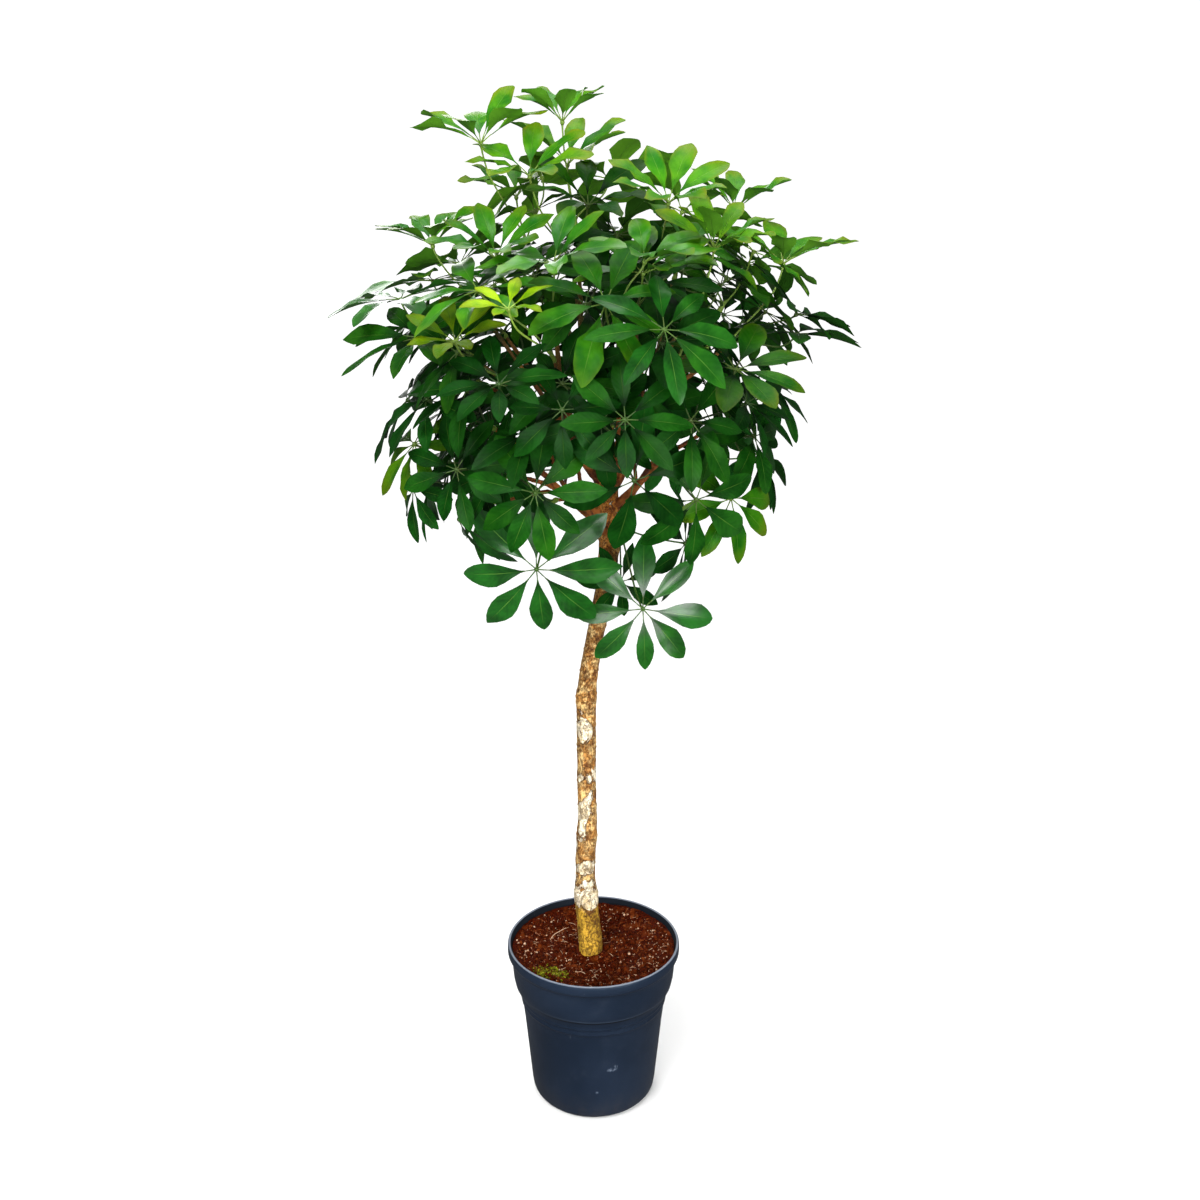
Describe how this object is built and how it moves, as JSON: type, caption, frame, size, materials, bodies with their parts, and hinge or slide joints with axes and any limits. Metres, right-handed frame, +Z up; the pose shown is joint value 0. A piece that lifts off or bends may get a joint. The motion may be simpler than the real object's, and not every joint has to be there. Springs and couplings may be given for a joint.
{
  "type": "potted umbrella plant",
  "caption": "Umbrella plant grown as a small tree: one bare woody stem with a round crown of whorled leaves, rooted in peat in a round plastic nursery pot.",
  "frame": {"origin": "centre of the pot's flat underside, on the floor", "axes": "+Z up along the pot's axis, -Y to the front seen in the picture, +X to the right"},
  "size_m": [0.6209, 0.5618, 1.3442],
  "materials": {
    "pot": "satin",
    "soil": "matte",
    "bark": "matte",
    "greenwood": "matte",
    "leaf": "satin"
  },
  "bodies": {
    "root": {"branch_front": "greenwood", "branch_left": "greenwood", "branch_low_back_left": "greenwood", "branch_low_back_right": "greenwood", "branch_low_front": "greenwood", "branch_low_left": "greenwood", "branch_right": "greenwood", "branch_top": "greenwood", "branch_upper_back_left": "greenwood", "branch_upper_back_right": "greenwood", "branch_upper_left": "greenwood", "branch_upper_right": "greenwood", "pot": "pot", "shoot_01": "leaf", "shoot_02": "leaf", "shoot_03": "leaf", "shoot_04": "leaf", "shoot_05": "leaf", "shoot_06": "leaf", "shoot_07": "leaf", "shoot_08": "leaf", "shoot_09": "leaf", "shoot_10": "leaf", "shoot_11": "leaf", "shoot_12": "leaf", "shoot_13": "leaf", "shoot_14": "leaf", "shoot_15": "leaf", "shoot_16": "leaf", "shoot_17": "leaf", "shoot_18": "leaf", "shoot_19": "leaf", "shoot_20": "leaf", "shoot_21": "leaf", "shoot_22": "leaf", "shoot_23": "leaf", "shoot_24": "leaf", "shoot_25": "leaf", "shoot_26": "leaf", "shoot_27": "leaf", "shoot_28": "leaf", "shoot_29": "leaf", "shoot_30": "leaf", "shoot_31": "leaf", "shoot_32": "leaf", "shoot_33": "leaf", "shoot_34": "leaf", "shoot_35": "leaf", "shoot_36": "leaf", "shoot_37": "leaf", "shoot_38": "leaf", "shoot_39": "leaf", "shoot_40": "leaf", "soil": "soil", "stem": "bark"}
  },
  "joints": []
}
